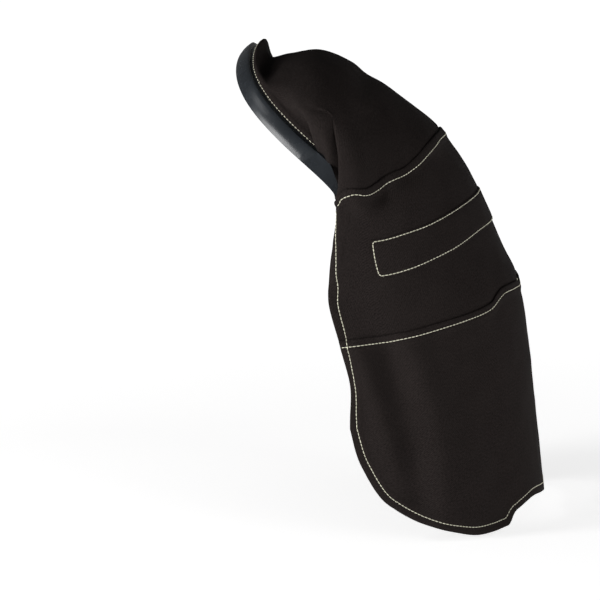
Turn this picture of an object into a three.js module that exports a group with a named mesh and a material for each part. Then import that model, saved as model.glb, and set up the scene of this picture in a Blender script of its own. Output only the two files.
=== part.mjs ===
// A welding head cover: a cloth hood and cape, sewn to a rubber trim that clips over a rim.
// Millimetres, +Z up, +Y to the wearer's back, +X to the wearer's left.
// The origin is the crown of the rim, in the middle of the slot of the edge trim.

import * as THREE from "three";

// The rim that the trim grips: half its width, and its side view as a curve in Y and Z
const RIM_HALF_WIDTH = 105;
const RIM_SIDE_VIEW = new THREE.CubicBezierCurve(
  new THREE.Vector2(0, 0),
  new THREE.Vector2(-10.9, -34.6),
  new THREE.Vector2(64.6, -76),
  new THREE.Vector2(73.6, -94.5),
);
const SHELL_CENTRE = new THREE.Vector3(0, 60, -100);
const TRIM_END_ANGLE = THREE.MathUtils.degToRad(88);

// Edge trim: a rounded bead with a slot, and a flat flange that the cloth is sewn to. Its section is
// measured back off the rim and out of the shell. The flange is cut off at a slant near the two ends.
const BEAD_FRONT = -2.4;
const BEAD_BACK = 9.2;
const BEAD_OUTER = 3.2;
const BEAD_INNER = -2.9;
const SLOT_BACK = 4;
const SLOT_HALF = 1.4;
const FLANGE_BACK = 12.8;
const FLANGE_END = 9.6;
const FLANGE_CUT = [72, 82].map(THREE.MathUtils.degToRad);
const FLANGE_TOP = 0.5;
const FLANGE_BOTTOM = -0.9;
const BEAD_BEVEL = 1.2;
const BEAD_CROWN = 0.3;
const BEAD_LIP = 0.8;
const TRIM_STEPS = 48;

// Cloth
const CLOTH = 1.3;
const HEM_WIDTH = 6;
const HEM_EXTRA = 0.7;
const SEAM_RAISE = 0.9;
const STRIP_CLOTH = 1.1;
const GAP = 0.3;
const SEAM_GAP = 0.4;
const EDGE_CLEARANCE = 0.6;
const HEM_LIFT = FLANGE_TOP + GAP + CLOTH / 2;
const ON_RIM = [BEAD_BACK + EDGE_CLEARANCE, HEM_LIFT];
const ON_FLANGE = [FLANGE_BACK + 2 * EDGE_CLEARANCE, HEM_LIFT];
const COLLAR_END = [15.2, -0.2];

// Sections of the cloth, from the rim down to the hem. Each is a hoop from the front edge on one
// side, round the back, to the other.
// The first three follow the rim, each at a distance back off it and out of the shell: atSpine, atSide,
// and atEnd where the row stops at its endAngle from the crown.
// The others have front: X, Y and Z of the front edge; spine: Y and Z at the back; round: 2 is an
// ellipse, more is squarer; sag: how far the sides droop.
// tuck: how far the front edge rolls in towards the head.
const SECTIONS = [
  { name: "rim", atSpine: ON_RIM, atSide: ON_RIM, atEnd: ON_RIM, endAngle: 71, tuck: 0 },
  { name: "sewn", atSpine: ON_FLANGE, atSide: ON_FLANGE, atEnd: ON_FLANGE, endAngle: 72.3, tuck: 0 },
  { name: "collar", atSpine: [12.2, -10.5], atSide: [17.5, 1.2], atEnd: COLLAR_END, endAngle: 73.8, tuck: 0 },
  { name: "brow", front: [109, 66, -68.5], spine: [26, -4], round: 2.2, sag: 0, tuck: 6 },
  { name: "crest", front: [113, 69.5, -74], spine: [52, 0.3], round: 2.3, sag: 0, tuck: 10 },
  { name: "crown", front: [115, 73.5, -80], spine: [75, -9], round: 2.4, sag: 0, tuck: 12 },
  { name: "back", front: [115, 75, -90], spine: [106, -29.5], round: 2.4, sag: 3, tuck: 10 },
  { name: "seam1", front: [114, 72, -100.5], spine: [141.5, -60.5], round: 2.4, sag: 7, tuck: 3.5 },
  { name: "nape", front: [114, 70.5, -124], spine: [157.5, -84], round: 2.4, sag: 6, tuck: 5 },
  { name: "strip", front: [114, 67, -150], spine: [172.5, -113], round: 2.4, sag: 6, tuck: 0 },
  { name: "low", front: [115, 67.5, -166], spine: [185, -140.5], round: 2.4, sag: 5, tuck: -2 },
  { name: "seam2", front: [116, 75.5, -199], spine: [196, -166.5], round: 2.4, sag: 5, tuck: -1 },
  { name: "cape1", front: [117, 82, -225], spine: [204, -216], round: 2.4, sag: 3, tuck: 0 },
  { name: "cape2", front: [119, 82, -250], spine: [208.5, -248], round: 2.4, sag: 3, tuck: 0 },
  { name: "cape3", front: [121, 84, -290], spine: [212.5, -281], round: 2.4, sag: 4, tuck: 0 },
  { name: "hem", front: [122, 87.5, -334], spine: [216.5, -323.5], round: 2.4, sag: 5, tuck: 0 },
];
const COLLAR_FADE = [14, 40];
const END_BLEND = 6;
const ROLL_BACK = 0.5;
const COURSE_STEPS = 72;
const ROLL_LENGTH = 20;
const COLLAR = 2;
const BROW = 3;
const SEAM_1 = 7;
const SEAM_2 = 11;
const HEM = SECTIONS.length - 1;
const SEAM_STEP = 0.1;

// Hem of the cape. Its front corners are rounded off: the reach along the hem, and the height as a share
// of the cape. It rises at the back: the share of the cape, and between which shares of the way there.
const CORNER_REACH = 100;
const CORNER_SHARE = 0.44;
const CORNER_POWER = 1.8;
const HEM_RISE = { share: 0.035, from: 0.56, to: 0.64 };

// Bands of double cloth under the two cross seams: where the raised rows end and the plain ones begin,
// in section places on the neck panel and in shares of the length on the cape
const NECK_BAND = { raised: 0.16, stepped: 0.24, plain: 0.6 };
const CAPE_BAND = { raised: 0.035, stepped: 0.05, plain: 0.14, hem: 0.96 };

// Nape strip: its square end as a share of the way to the spine, its top and bottom as section places
const STRIP_END_SHARE = 0.165;
const STRIP_TOP = { end: 8.28, spine: 8.52 };
const STRIP_BOTTOM = 9.34;

// Folds, drawn as curves in the side view (Y, Z): from, bend and to; push: how far their middle is moved
// outwards, back and up; ends: the share of the push at the two ends; width: half the breadth;
// reach: the distances from the middle plane they cover
const FOLDS = [
  { name: "ear ridge", from: [48, -34], bend: [82, -36], to: [82, -86],
    push: [5, -1, 0], ends: [0.3, 0.8], width: 10, reach: [60, 140] },
  { name: "ear pocket", from: [64, -52], bend: [69, -58], to: [71, -68],
    push: [-4, 1, 0], ends: [0.6, 1], width: 5, reach: [60, 140] },
  { name: "ear valley", from: [84, -46], bend: [88, -68], to: [95, -92],
    push: [-5, 0, 0], ends: [0.6, 1], width: 8, reach: [60, 140] },
  { name: "crown dent", from: [84, -14], bend: [87, -30], to: [90, -48],
    push: [-2, -1, -3], ends: [1, 0.4], width: 8, reach: [10, 90] },
  { name: "crown ridge", from: [97, -22], bend: [104, -40], to: [112, -62],
    push: [2, 1, 1], ends: [1, 1], width: 9, reach: [30, 120] },
  { name: "seam dent", from: [112, -64], bend: [118, -72], to: [124, -80],
    push: [-4, 0, 0], ends: [0.5, 1], width: 7, reach: [50, 120] },
  { name: "nape dent", from: [140, -72], bend: [142, -82], to: [146, -95],
    push: [-4, -2, 0], ends: [1, 0.6], width: 13, reach: [30, 110] },
  { name: "cape valley 1", from: [92, -200], bend: [100, -240], to: [122, -310],
    push: [-5, 0, 0], ends: [0.5, 1], width: 10, reach: [40, 140] },
  { name: "cape ridge 1", from: [118, -196], bend: [130, -240], to: [142, -320],
    push: [4, 0, 0], ends: [0.4, 1], width: 13, reach: [40, 140] },
  { name: "cape valley 2", from: [160, -205], bend: [172, -260], to: [186, -322],
    push: [-4, -3, 0], ends: [0.3, 1], width: 11, reach: [40, 120] },
  { name: "back puff", from: [172, -150], bend: [184, -160], to: [192, -158],
    push: [1, 2, 0], ends: [1, 1], width: 10, reach: [0, 80] },
];
const FOLD_FADE = 22;
const FOLD_STEPS = 16;
const SEWN_TO = 1.1;
const FREE_FROM = 2.1;

// Mesh: columns from the spine to a front edge, crowded towards that edge, and rows down each panel
const COLUMNS_HALF = 24;
const EDGE_CROWDING = 0.64;
const ROWS = { sewn: 4, collar: 6, crown: 14, neck: 9, cape: 8, strip: 4 };
const HEM_ROWS = 2;
const RIM_STEP = 1e-3;
const PLACE_STEP = 0.01;

const CLOTH_COLOUR = 0x201c1b;
const STRIP_COLOUR = 0x221e1c;
const TRIM_COLOUR = 0x2d3238;
const CLOTH_ROUGHNESS = 0.95;
const TRIM_ROUGHNESS = 0.4;

// Point of the rim at an angle from the crown: positive angles to the wearer's left
function rimPoint(angle) {
  const side = RIM_SIDE_VIEW.getPoint(1 - Math.cos(angle));
  return new THREE.Vector3(RIM_HALF_WIDTH * Math.sin(angle), side.x, side.y);
}

// Directions at the rim: along it, out of the shell, and back off its edge
function rimFrame(angle) {
  const along = rimPoint(angle + RIM_STEP).sub(rimPoint(angle - RIM_STEP)).normalize();
  const out = rimPoint(angle).sub(SHELL_CENTRE);
  out.addScaledVector(along, -out.dot(along)).normalize();
  const back = new THREE.Vector3().crossVectors(out, along);
  return { along, out, back };
}

function rimOffset(angle, back, out) {
  const frame = rimFrame(angle);
  return rimPoint(angle).addScaledVector(frame.back, back).addScaledVector(frame.out, out);
}

// Course of a section that follows the rim, from its free end to the spine
function rimCourse(section) {
  const [spine, side, end] = [section.atSpine, section.atSide, section.atEnd].map((pair) => (
    new THREE.Vector2(...pair)
  ));
  const points = [];
  for (let i = 0; i <= COURSE_STEPS; i += 1) {
    const part = i / COURSE_STEPS;
    const degrees = section.endAngle * (1 - part);
    const place = spine.clone().lerp(side, THREE.MathUtils.smoothstep(degrees, ...COLLAR_FADE));
    place.lerp(end, (1 - part) ** END_BLEND);
    points.push(rimOffset(THREE.MathUtils.degToRad(degrees), place.x, place.y));
  }
  return points;
}

// Course of a hoop on the wearer's left, from its front edge to the spine
function hoopCourse(section) {
  const [frontX, frontY, frontZ] = section.front;
  const [spineY, spineZ] = section.spine;
  const power = 2 / section.round;
  const points = [];
  for (let i = 0; i < COURSE_STEPS; i += 1) {
    const angle = i / COURSE_STEPS * Math.PI / 2;
    const along = Math.sin(angle) ** power;
    points.push(new THREE.Vector3(
      frontX * Math.cos(angle) ** power,
      THREE.MathUtils.lerp(frontY, spineY, along),
      THREE.MathUtils.lerp(frontZ, spineZ, along) - section.sag * Math.sin(Math.PI * along),
    ));
  }
  points.push(new THREE.Vector3(0, spineY, spineZ));
  return points;
}

// Point at a share of a course's length, with the front edge rolled in
function coursePoint(course, share, tuck) {
  const target = share * course.length;
  let index = 0;
  while (index < course.points.length - 2 && course.reached[index + 1] < target) {
    index += 1;
  }
  const stretch = course.reached[index + 1] - course.reached[index];
  const part = (target - course.reached[index]) / stretch;
  const point = course.points[index].clone().lerp(course.points[index + 1], part);
  const roll = Math.max(0, 1 - target / ROLL_LENGTH) ** 2;
  point.x -= tuck * roll;
  point.y += ROLL_BACK * tuck * roll;
  return point;
}

function measure(points) {
  const reached = [0];
  for (let i = 1; i < points.length; i += 1) {
    reached.push(reached[i - 1] + points[i].distanceTo(points[i - 1]));
  }
  return { points, reached, length: reached[reached.length - 1] };
}

const COURSES = SECTIONS.map((section) => (
  measure(section.front ? hoopCourse(section) : rimCourse(section))
));

// Column of the cloth at a place across it: 1 is the left front edge, 0 the spine, -1 the right edge
function clothColumn(across) {
  const mirror = across < 0 ? -1 : 1;
  const points = COURSES.map((course, i) => {
    const point = coursePoint(course, 1 - Math.abs(across), SECTIONS[i].tuck);
    point.x *= mirror;
    return point;
  });
  return new THREE.CatmullRomCurve3(points, false, "centripetal");
}

// Distance from the front edge, along the section nearest to a place down the cloth
function edgeDistance(across, down) {
  const low = Math.min(Math.floor(down), HEM - 1);
  const length = THREE.MathUtils.lerp(COURSES[low].length, COURSES[low + 1].length, down - low);
  return (1 - Math.abs(across)) * length;
}

// A point moved by the folds. The cloth lies flat where it is sewn to the trim's flange.
function folded(point, down) {
  const free = THREE.MathUtils.smoothstep(down, SEWN_TO, FREE_FROM);
  const spot = new THREE.Vector2(point.y, point.z);
  const away = Math.abs(point.x);
  const moved = point.clone();
  for (const fold of FOLDS) {
    const line = new THREE.QuadraticBezierCurve(
      new THREE.Vector2(...fold.from),
      new THREE.Vector2(...fold.bend),
      new THREE.Vector2(...fold.to),
    );
    const marks = line.getPoints(FOLD_STEPS);
    const distances = marks.map((mark) => mark.distanceTo(spot));
    const distance = Math.min(...distances);
    const strength = THREE.MathUtils.lerp(...fold.ends, distances.indexOf(distance) / FOLD_STEPS);
    const outside = Math.max(fold.reach[0] - away, away - fold.reach[1], 0);
    const fade = (distance / fold.width) ** 2 + (outside / FOLD_FADE) ** 2;
    const weight = free * strength * Math.exp(-fade);
    const [out, back, up] = fold.push;
    moved.x += Math.sign(point.x) * out * weight;
    moved.y += back * weight;
    moved.z += up * weight;
  }
  return moved;
}

function gridNormals(grid) {
  const rows = grid.length;
  const columns = grid[0].length;
  return grid.map((row, i) => row.map((_, j) => {
    const acrossStep = grid[i][Math.min(j + 1, columns - 1)].clone().sub(grid[i][Math.max(j - 1, 0)]);
    const downStep = grid[Math.min(i + 1, rows - 1)][j].clone().sub(grid[Math.max(i - 1, 0)][j]);
    return downStep.cross(acrossStep).normalize();
  }));
}

// Middle surface of a stretch of cloth, folds included: rows of points and their normals.
// One more row at each end gives neighbouring panels the same normals along their seam.
function clothSurface(acrossPlaces, downPlaces) {
  const columns = acrossPlaces.map(clothColumn);
  const places = downPlaces.map((list) => {
    const before = Math.max(list[0] - SEAM_STEP, 0);
    const after = Math.min(list[list.length - 1] + SEAM_STEP, HEM);
    return [before, ...list, after];
  });
  const grid = places[0].map((_, i) => columns.map((column, j) => (
    folded(column.getPoint(places[j][i] / HEM), places[j][i])
  )));
  const normals = gridNormals(grid);
  return { grid: grid.slice(1, -1), normals: normals.slice(1, -1) };
}

// Draw the first and last rows back from their seams, so that neighbours stay clear of each other
function clearSeams({ grid }) {
  const last = grid.length - 1;
  for (let j = 0; j < grid[0].length; j += 1) {
    const startWay = grid[1][j].clone().sub(grid[0][j]).normalize();
    const endWay = grid[last - 1][j].clone().sub(grid[last][j]).normalize();
    grid[0][j].addScaledVector(startWay, SEAM_GAP / 2);
    grid[last][j].addScaledVector(endWay, SEAM_GAP / 2);
  }
}

function meshGeometry(points, indices) {
  const geometry = new THREE.BufferGeometry().setFromPoints(points);
  geometry.setIndex(indices);
  geometry.computeVertexNormals();
  return geometry;
}

// Closed wall around a middle surface: outer and inner faces and the four edges
function wall({ grid, normals }, outerAt, innerAt) {
  const rows = grid.length;
  const columns = grid[0].length;
  const points = [];
  for (const face of [1, -1]) {
    grid.forEach((row, i) => row.forEach((point, j) => {
      const offset = face > 0 ? outerAt(i, j) : -innerAt(i, j);
      points.push(point.clone().addScaledVector(normals[i][j], offset));
    }));
  }
  const at = (face, i, j) => face * rows * columns + i * columns + j;
  const indices = [];
  const quad = (a, b, c, d) => {
    const shorter = points[a].distanceTo(points[c]) < points[b].distanceTo(points[d]);
    indices.push(...(shorter ? [c, b, a, d, c, a] : [d, b, a, d, c, b]));
  };
  for (let i = 0; i < rows - 1; i += 1) {
    for (let j = 0; j < columns - 1; j += 1) {
      quad(at(0, i, j), at(0, i, j + 1), at(0, i + 1, j + 1), at(0, i + 1, j));
      quad(at(1, i, j), at(1, i + 1, j), at(1, i + 1, j + 1), at(1, i, j + 1));
    }
  }
  for (let j = 0; j < columns - 1; j += 1) {
    quad(at(0, 0, j + 1), at(0, 0, j), at(1, 0, j), at(1, 0, j + 1));
    quad(at(0, rows - 1, j), at(0, rows - 1, j + 1), at(1, rows - 1, j + 1), at(1, rows - 1, j));
  }
  for (let i = 0; i < rows - 1; i += 1) {
    quad(at(0, i, 0), at(0, i + 1, 0), at(1, i + 1, 0), at(1, i, 0));
    const j = columns - 1;
    quad(at(0, i + 1, j), at(0, i, j), at(1, i, j), at(1, i + 1, j));
  }
  return meshGeometry(points, indices);
}

// Places across the cloth, closer together near the two front edges
function acrossPlaces() {
  const places = [];
  for (let i = -COLUMNS_HALF; i <= COLUMNS_HALF; i += 1) {
    const even = 1 - Math.abs(i) / COLUMNS_HALF;
    const share = THREE.MathUtils.lerp(even, even ** 3, EDGE_CROWDING);
    places.push(-Math.sign(i) * (1 - share));
  }
  return places;
}

function evenPlaces(from, to, count) {
  return Array.from({ length: count }, (_, i) => THREE.MathUtils.lerp(from, to, i / (count - 1)));
}

const ACROSS = acrossPlaces();

function crownGeometry() {
  const down = [
    ...evenPlaces(0, COLLAR, ROWS.sewn + 1),
    ...evenPlaces(COLLAR, BROW, ROWS.collar + 1).slice(1),
    ...evenPlaces(BROW, SEAM_1, ROWS.crown).slice(1),
  ];
  const surface = clothSurface(ACROSS, ACROSS.map(() => down));
  clearSeams(surface);
  return wall(surface, () => CLOTH / 2, () => CLOTH / 2);
}

// Extra thickness of the folded hem along the front edges
function frontHem(across, down) {
  return edgeDistance(across, down) < HEM_WIDTH ? HEM_EXTRA : 0;
}

function neckGeometry() {
  const { raised, stepped, plain } = NECK_BAND;
  const band = [0, raised, stepped].map((place) => SEAM_1 + place);
  const down = [...band, ...evenPlaces(SEAM_1 + plain, SEAM_2, ROWS.neck)];
  const surface = clothSurface(ACROSS, ACROSS.map(() => down));
  clearSeams(surface);
  const raise = (i) => (i < 2 ? SEAM_RAISE : 0);
  return wall(
    surface,
    (i, j) => CLOTH / 2 + raise(i),
    (i, j) => CLOTH / 2 + frontHem(ACROSS[j], down[i]),
  );
}

// How far down its full length the cape reaches, with its front corners rounded off
function capeShare(across) {
  const distance = Math.min(edgeDistance(across, HEM) / CORNER_REACH, 1);
  const round = (1 - (1 - distance) ** CORNER_POWER) ** (1 / CORNER_POWER);
  const rise = THREE.MathUtils.smoothstep(1 - Math.abs(across), HEM_RISE.from, HEM_RISE.to);
  return 1 - CORNER_SHARE * (1 - round) - HEM_RISE.share * rise;
}

function capeGeometry() {
  const { raised, stepped, plain, hem: hemShare } = CAPE_BAND;
  const shares = [0, raised, stepped, ...evenPlaces(plain, hemShare, ROWS.cape), 1];
  const down = ACROSS.map((across) => shares.map((share) => (
    THREE.MathUtils.lerp(SEAM_2, HEM, share * capeShare(across))
  )));
  const surface = clothSurface(ACROSS, down);
  clearSeams(surface);
  const raise = (i) => (i < 2 ? SEAM_RAISE : 0);
  const hem = (i, j) => (i >= shares.length - HEM_ROWS ? HEM_EXTRA : frontHem(ACROSS[j], down[j][i]));
  return wall(surface, (i, j) => CLOTH / 2 + raise(i), (i, j) => CLOTH / 2 + hem(i, j));
}

function stripGeometry() {
  const limit = 1 - STRIP_END_SHARE;
  const across = [limit, ...ACROSS.filter((place) => Math.abs(place) < limit - PLACE_STEP), -limit];
  const down = across.map((place) => {
    const end = (place / limit) ** 2;
    return evenPlaces(THREE.MathUtils.lerp(STRIP_TOP.spine, STRIP_TOP.end, end), STRIP_BOTTOM, ROWS.strip);
  });
  const surface = clothSurface(across, down);
  const under = CLOTH / 2 + GAP;
  return wall(surface, () => under + STRIP_CLOTH, () => -under);
}

// Section of the trim at an angle from the crown
function trimProfile(angle) {
  const middle = (BEAD_OUTER + SLOT_HALF) / 2;
  const cut = THREE.MathUtils.smoothstep(Math.abs(angle), ...FLANGE_CUT);
  const flangeBack = THREE.MathUtils.lerp(FLANGE_BACK, FLANGE_END, cut);
  return [
    [flangeBack, FLANGE_TOP],
    [BEAD_BACK, FLANGE_TOP],
    [BEAD_BACK, middle],
    [BEAD_BACK - BEAD_BEVEL, BEAD_OUTER - BEAD_CROWN],
    [(BEAD_FRONT + BEAD_BACK) / 2, BEAD_OUTER],
    [BEAD_FRONT + BEAD_BEVEL, BEAD_OUTER - BEAD_CROWN],
    [BEAD_FRONT, middle],
    [BEAD_FRONT, SLOT_HALF],
    [SLOT_BACK, SLOT_HALF],
    [SLOT_BACK, -SLOT_HALF],
    [BEAD_FRONT, -SLOT_HALF],
    [BEAD_FRONT, BEAD_INNER + BEAD_LIP],
    [BEAD_FRONT + BEAD_BEVEL, BEAD_INNER],
    [BEAD_BACK - BEAD_BEVEL, BEAD_INNER],
    [BEAD_BACK, BEAD_INNER + BEAD_LIP],
    [BEAD_BACK, FLANGE_BOTTOM],
    [flangeBack, FLANGE_BOTTOM],
  ].map(([back, out]) => new THREE.Vector2(back, out));
}

function trimGeometry() {
  const count = trimProfile(0).length;
  const points = [];
  for (let step = 0; step <= TRIM_STEPS; step += 1) {
    const angle = THREE.MathUtils.lerp(-TRIM_END_ANGLE, TRIM_END_ANGLE, step / TRIM_STEPS);
    for (const mark of trimProfile(angle)) {
      points.push(rimOffset(angle, mark.x, mark.y));
    }
  }
  const indices = [];
  for (let step = 0; step < TRIM_STEPS; step += 1) {
    for (let i = 0; i < count; i += 1) {
      const a = step * count + i;
      const b = step * count + (i + 1) % count;
      indices.push(a, b, b + count, a, b + count, a + count);
    }
  }
  const last = TRIM_STEPS * count;
  for (const [a, b, c] of THREE.ShapeUtils.triangulateShape(trimProfile(TRIM_END_ANGLE), [])) {
    indices.push(c, b, a, last + a, last + b, last + c);
  }
  return meshGeometry(points, indices);
}

function piece(name, geometry, color, roughness) {
  const material = new THREE.MeshStandardMaterial({ color, roughness, metalness: 0 });
  const mesh = new THREE.Mesh(geometry, material);
  mesh.name = name;
  return mesh;
}

const headCover = new THREE.Group();
headCover.add(
  piece("edge_trim", trimGeometry(), TRIM_COLOUR, TRIM_ROUGHNESS),
  piece("crown_panel", crownGeometry(), CLOTH_COLOUR, CLOTH_ROUGHNESS),
  piece("neck_panel", neckGeometry(), CLOTH_COLOUR, CLOTH_ROUGHNESS),
  piece("nape_strip", stripGeometry(), STRIP_COLOUR, CLOTH_ROUGHNESS),
  piece("cape_panel", capeGeometry(), CLOTH_COLOUR, CLOTH_ROUGHNESS),
);

export default headCover;
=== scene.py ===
# %% [markdown]
# # A welding head cover
# A black cloth hood and cape for welding, which covers the crown, the neck and the shoulders. Five things
# make it: a rubber trim that clips over a rim, a crown panel sewn to the trim, a neck panel, a strip sewn
# across that panel, and a cape. This lesson loads the measured solids first, because the trim and each
# panel made here take the place of one of them.

# %% Load the measured solids
import math

import bmesh
import bpy
import numpy as np
from mathutils import Matrix, Vector, kdtree, noise


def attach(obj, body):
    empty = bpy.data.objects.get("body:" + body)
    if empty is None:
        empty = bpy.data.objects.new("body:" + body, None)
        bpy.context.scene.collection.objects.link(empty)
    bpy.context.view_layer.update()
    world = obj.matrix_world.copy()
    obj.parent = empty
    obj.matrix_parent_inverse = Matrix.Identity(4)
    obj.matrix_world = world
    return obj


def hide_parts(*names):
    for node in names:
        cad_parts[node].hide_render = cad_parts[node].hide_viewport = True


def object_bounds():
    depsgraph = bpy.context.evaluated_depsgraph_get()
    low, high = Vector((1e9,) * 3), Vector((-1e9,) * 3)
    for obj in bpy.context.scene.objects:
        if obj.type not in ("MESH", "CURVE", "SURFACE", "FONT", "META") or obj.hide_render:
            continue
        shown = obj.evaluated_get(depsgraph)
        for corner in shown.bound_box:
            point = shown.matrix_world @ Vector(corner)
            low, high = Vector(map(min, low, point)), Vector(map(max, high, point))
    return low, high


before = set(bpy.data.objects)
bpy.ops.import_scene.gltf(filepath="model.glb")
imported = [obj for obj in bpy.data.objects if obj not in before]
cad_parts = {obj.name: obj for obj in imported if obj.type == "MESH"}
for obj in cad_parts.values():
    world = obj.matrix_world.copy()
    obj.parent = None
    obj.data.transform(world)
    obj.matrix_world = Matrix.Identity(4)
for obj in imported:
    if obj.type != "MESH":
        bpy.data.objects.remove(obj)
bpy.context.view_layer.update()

bpy.ops.object.select_all(action="DESELECT")
MM = 0.001
print("solids:", sorted(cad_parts))

# %% [markdown]
# ## Camera
# The cover is seen from its left, a little behind and a little above. A long lens from 1.8 m keeps the
# two sides nearly the same size, as in the photograph. The camera's three directions are worked out from
# two angles, so that it can be turned later by changing one number.

# %% Camera
VIEW_TURN = math.radians(5)
VIEW_RISE = math.radians(8)
VIEW_DISTANCE = 1.8
VIEW_TARGET = Vector((0, 0.0369, -0.1816))
VIEW_LENS = 147.95
SENSOR_WIDTH = 36
VIEW_FAR = 50

towards = Vector((
    math.cos(VIEW_TURN) * math.cos(VIEW_RISE),
    math.sin(VIEW_TURN) * math.cos(VIEW_RISE),
    math.sin(VIEW_RISE),
))
right = Vector((-math.sin(VIEW_TURN), math.cos(VIEW_TURN), 0))
up = towards.cross(right)
bpy.ops.object.camera_add()
camera = bpy.context.object
camera.matrix_world = (
    Matrix.Translation(VIEW_TARGET + towards * VIEW_DISTANCE)
    @ Matrix((right, up, towards)).transposed().to_4x4()
)
camera.data.lens = VIEW_LENS
camera.data.sensor_width = SENSOR_WIDTH
camera.data.sensor_fit = "HORIZONTAL"
camera.data.clip_end = VIEW_FAR
bpy.context.scene.camera = camera
print("camera at", [round(v, 3) for v in camera.matrix_world.translation])

# %% [markdown]
# ## Shader sums
# A finish is a small network of nodes. Written as a drawing it needs a window; written as Python sums it
# can be read. `Wire` wraps a socket, so that `1 - wire * 0.5` adds the Math nodes, and `Network.node`
# adds any other node.

# %% Shader helpers
class Wire:
    """A socket that can be added to, multiplied and so on."""

    def __init__(self, tree, socket):
        self.tree = tree
        self.socket = socket

    def math(self, operation, first, second=None):
        node = self.tree.nodes.new("ShaderNodeMath")
        node.operation = operation
        for socket, value in zip(node.inputs, (first, second)):
            if isinstance(value, Wire):
                self.tree.links.new(value.socket, socket)
            elif value is not None:
                socket.default_value = value
        return Wire(self.tree, node.outputs[0])

    def __add__(self, other):
        return self.math("ADD", self, other)

    def __sub__(self, other):
        return self.math("SUBTRACT", self, other)

    def __mul__(self, other):
        return self.math("MULTIPLY", self, other)

    def __radd__(self, other):
        return self.math("ADD", other, self)

    def __rsub__(self, other):
        return self.math("SUBTRACT", other, self)

    def __rmul__(self, other):
        return self.math("MULTIPLY", other, self)

    def sine(self):
        return self.math("SINE", self)


class Network:
    """A node tree with a main shader, and the one method that adds nodes to it."""

    def __init__(self, tree, main, constants):
        self.tree = tree
        self.main = tree.nodes[main]
        for socket, value in constants.items():
            self.main.inputs[socket].default_value = value

    def node(self, kind, settings=None, values=None, output=0):
        """Add a node: its type, its settings, and values or links for its sockets, by name or number."""
        node = self.tree.nodes.new(kind)
        for name, value in (settings or {}).items():
            setattr(node, name, value)
        for socket, value in (values or {}).items():
            if isinstance(value, Wire):
                self.tree.links.new(value.socket, node.inputs[socket])
            else:
                node.inputs[socket].default_value = value
        return Wire(self.tree, node.outputs[output])

    def feed(self, socket, wire):
        self.tree.links.new(wire.socket, self.main.inputs[socket])

    def noise(self, place, scale, detail, roughness=0.5):
        values = {"Vector": place, "Scale": scale, "Detail": detail, "Roughness": roughness}
        return self.node("ShaderNodeTexNoise", values=values)

    def mix(self, factor, first, second):
        """Two colours mixed. A Mix node's colour sockets share their names, so numbers pick them."""
        values = {0: factor, 6: (*first, 1), 7: (*second, 1)}
        return self.node("ShaderNodeMix", {"data_type": "RGBA"}, values, output=2)


class Finish(Network):
    """A material, with constants for its main shader."""

    def __init__(self, name, constants):
        self.material = bpy.data.materials.new(name)
        self.material.use_nodes = True
        super().__init__(self.material.node_tree, "Principled BSDF", constants)


# %% [markdown]
# ## Cloth finish
# The cover is flame-retardant cotton twill, dyed black. It is matt and slightly uneven, and close to it
# fine diagonal ribs show, about 1.4 mm apart. The ribs follow the cloth round its folds, so they are
# drawn in the piece's own UV map, which is laid out in metres. They tilt the light through a Bump node and
# lighten or darken the colour a little.

# %% Cloth
RIB_SPACING = 1.4 * MM
CLOTH_DARK = (0.0085, 0.0066, 0.0062)
CLOTH_LIGHT = (0.0255, 0.0204, 0.0191)
SPOT_SCALE, CLOUD_SCALE = 900, 45
BASE_TONE, CLOUD_TONE, SPOT_TONE, RIB_TONE = 0.32, 0.35, 1.8, 0.16
RIB_BUMP = 0.3
BUMP_STRENGTH, BUMP_DEPTH = 0.35, 0.2 * MM


def cloth_finish(name):
    cloth = Finish(name, {"Roughness": 0.95, "Specular IOR Level": 0.06})
    place = cloth.node("ShaderNodeUVMap", {"uv_map": "cut"})
    across = cloth.node("ShaderNodeSeparateXYZ", values={"Vector": place}, output="X")
    down = cloth.node("ShaderNodeSeparateXYZ", values={"Vector": place}, output="Y")
    turn = 2 * math.pi / RIB_SPACING * math.sqrt(0.5)
    ribs = ((across + down) * turn).sine()
    spots = cloth.noise(place, SPOT_SCALE, detail=2, roughness=0.6)
    clouds = cloth.noise(place, CLOUD_SCALE, detail=3, roughness=0.55)
    tone = clouds * CLOUD_TONE + (spots - 0.5) * SPOT_TONE + ribs * RIB_TONE + BASE_TONE
    cloth.feed("Base Color", cloth.mix(tone, CLOTH_DARK, CLOTH_LIGHT))
    height = ribs * RIB_BUMP + spots
    bump = {"Strength": BUMP_STRENGTH, "Distance": BUMP_DEPTH, "Height": height}
    cloth.feed("Normal", cloth.node("ShaderNodeBump", values=bump))
    return cloth.material


cloth_material = cloth_finish("black_twill")
print("finish:", cloth_material.name)

# %% [markdown]
# ## Thread and rubber finishes
# The thread is an undyed cream aramid, matt and a little uneven along its length. The trim is a dark
# blue-grey rubber with a soft shine, cloudy where it has been handled, so its roughness wanders a little.

# %% Thread and rubber
THREAD_DARK, THREAD_LIGHT = (0.57, 0.55, 0.41), (0.84, 0.82, 0.66)
RUBBER_DARK, RUBBER_LIGHT = (0.011, 0.013, 0.0155), (0.027, 0.031, 0.036)
RUBBER_ROUGHNESS, RUBBER_WANDER = 0.15, 0.25
THREAD_SCALE, RUBBER_SCALE = 260, 38

thread = Finish("cream_thread", {"Roughness": 0.75, "Specular IOR Level": 0.3})
thread_place = thread.node("ShaderNodeTexCoord", output="Object")
thread_tone = thread.noise(thread_place, THREAD_SCALE, detail=1)
thread.feed("Base Color", thread.mix(thread_tone, THREAD_DARK, THREAD_LIGHT))

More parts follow.
